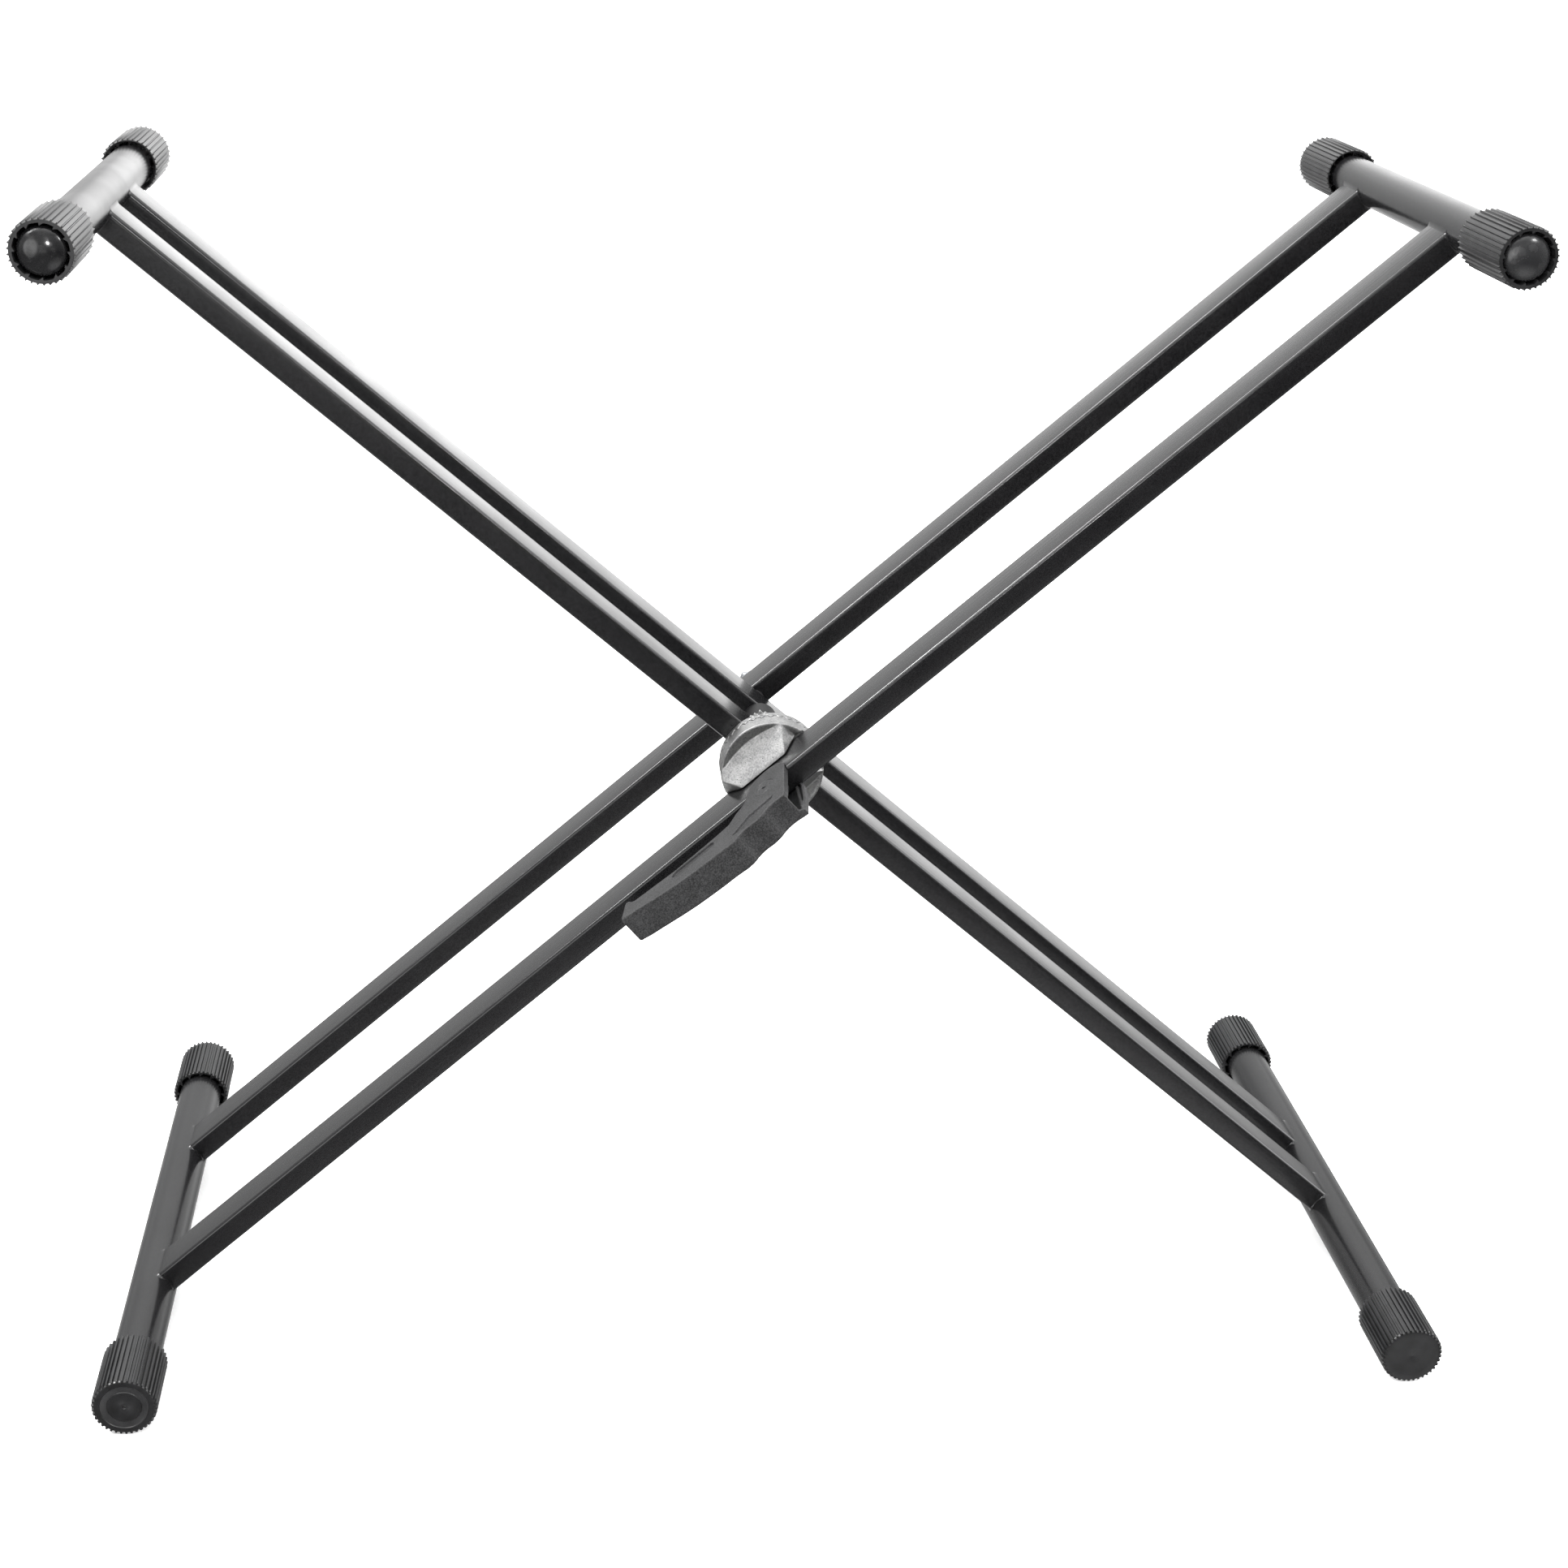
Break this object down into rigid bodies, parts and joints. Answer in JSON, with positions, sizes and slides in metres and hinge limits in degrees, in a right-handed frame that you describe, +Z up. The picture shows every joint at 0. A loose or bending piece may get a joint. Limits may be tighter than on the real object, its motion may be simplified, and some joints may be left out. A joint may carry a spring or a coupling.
{
  "type": "folding keyboard stand",
  "caption": "Folding X-shaped keyboard stand with two braced tube frames, round arm and foot bars, ribbed ends, and a toothed pivot clutch opened by a squeeze lever.",
  "frame": {"origin": "on the floor, below the pivot axis, at the middle of the feet's depth", "axes": "+Z up, +Y to the rear along the pivot axis, +X to the right seen from the lever's side"},
  "size_m": [0.8108, 0.424, 0.6986],
  "materials": {
    "coated_steel": "satin black powder coat",
    "ribbed_rubber": "matt moulded rubber",
    "gloss_plug": "glossy moulded plastic",
    "cast_aluminium": "raw die casting",
    "lever_plastic": "grained glass-filled nylon",
    "zinc_steel": "bright zinc plated"
  },
  "bodies": {
    "outer_frame": {"outer_front_tube": "coated_steel", "outer_rear_tube": "coated_steel", "outer_arm_bar": "coated_steel", "outer_foot_bar": "coated_steel", "outer_front_bushing": "zinc_steel", "outer_rear_bushing": "zinc_steel", "outer_arm_front_sleeve": "ribbed_rubber", "outer_arm_rear_sleeve": "ribbed_rubber", "outer_arm_front_plug": "gloss_plug", "outer_arm_rear_plug": "gloss_plug", "outer_foot_front_cap": "ribbed_rubber", "outer_foot_rear_cap": "ribbed_rubber", "rear_spacer": "zinc_steel"},
    "inner_frame": {"inner_front_tube": "coated_steel", "inner_rear_tube": "coated_steel", "inner_arm_bar": "coated_steel", "inner_foot_bar": "coated_steel", "inner_front_bushing": "zinc_steel", "inner_rear_bushing": "zinc_steel", "inner_arm_front_sleeve": "ribbed_rubber", "inner_arm_rear_sleeve": "ribbed_rubber", "inner_arm_front_plug": "gloss_plug", "inner_arm_rear_plug": "gloss_plug", "inner_foot_front_cap": "ribbed_rubber", "inner_foot_rear_cap": "ribbed_rubber", "rear_clutch_disc": "cast_aluminium", "inner_spacer_tube": "coated_steel", "spring_washer": "zinc_steel"},
    "clutch_slider": {"front_clutch_disc": "cast_aluminium", "pivot_bolt": "zinc_steel", "pivot_nut": "zinc_steel", "disc_clip": "zinc_steel", "spring_collar": "zinc_steel", "clutch_spring": "zinc_steel", "lever_pin": "zinc_steel"},
    "lever": {"release_lever": "lever_plastic"}
  },
  "joints": [
    {"name": "fold", "type": "hinge", "parent": "outer_frame", "child": "inner_frame", "pos_m": [0, 0, 0.35257], "axis": [0, 1, 0], "range_deg": [-20, 90]},
    {"name": "release", "type": "slide", "parent": "outer_frame", "child": "clutch_slider", "axis": [0, -1, 0], "range_m": [0, 0.0017], "deforming": ["clutch_spring"]},
    {"name": "lever_squeeze", "type": "hinge", "parent": "clutch_slider", "child": "lever", "pos_m": [0, -0.103, 0.35257], "axis": [0.6534, 0, -0.757], "range_deg": [0, 7], "stiffness_Nm_per_rad": 1.15, "springref_deg": -36.1}
  ],
  "couplings": [
    {"joint": "release", "follows": "lever_squeeze", "m_per_rad": 0.0135}
  ]
}
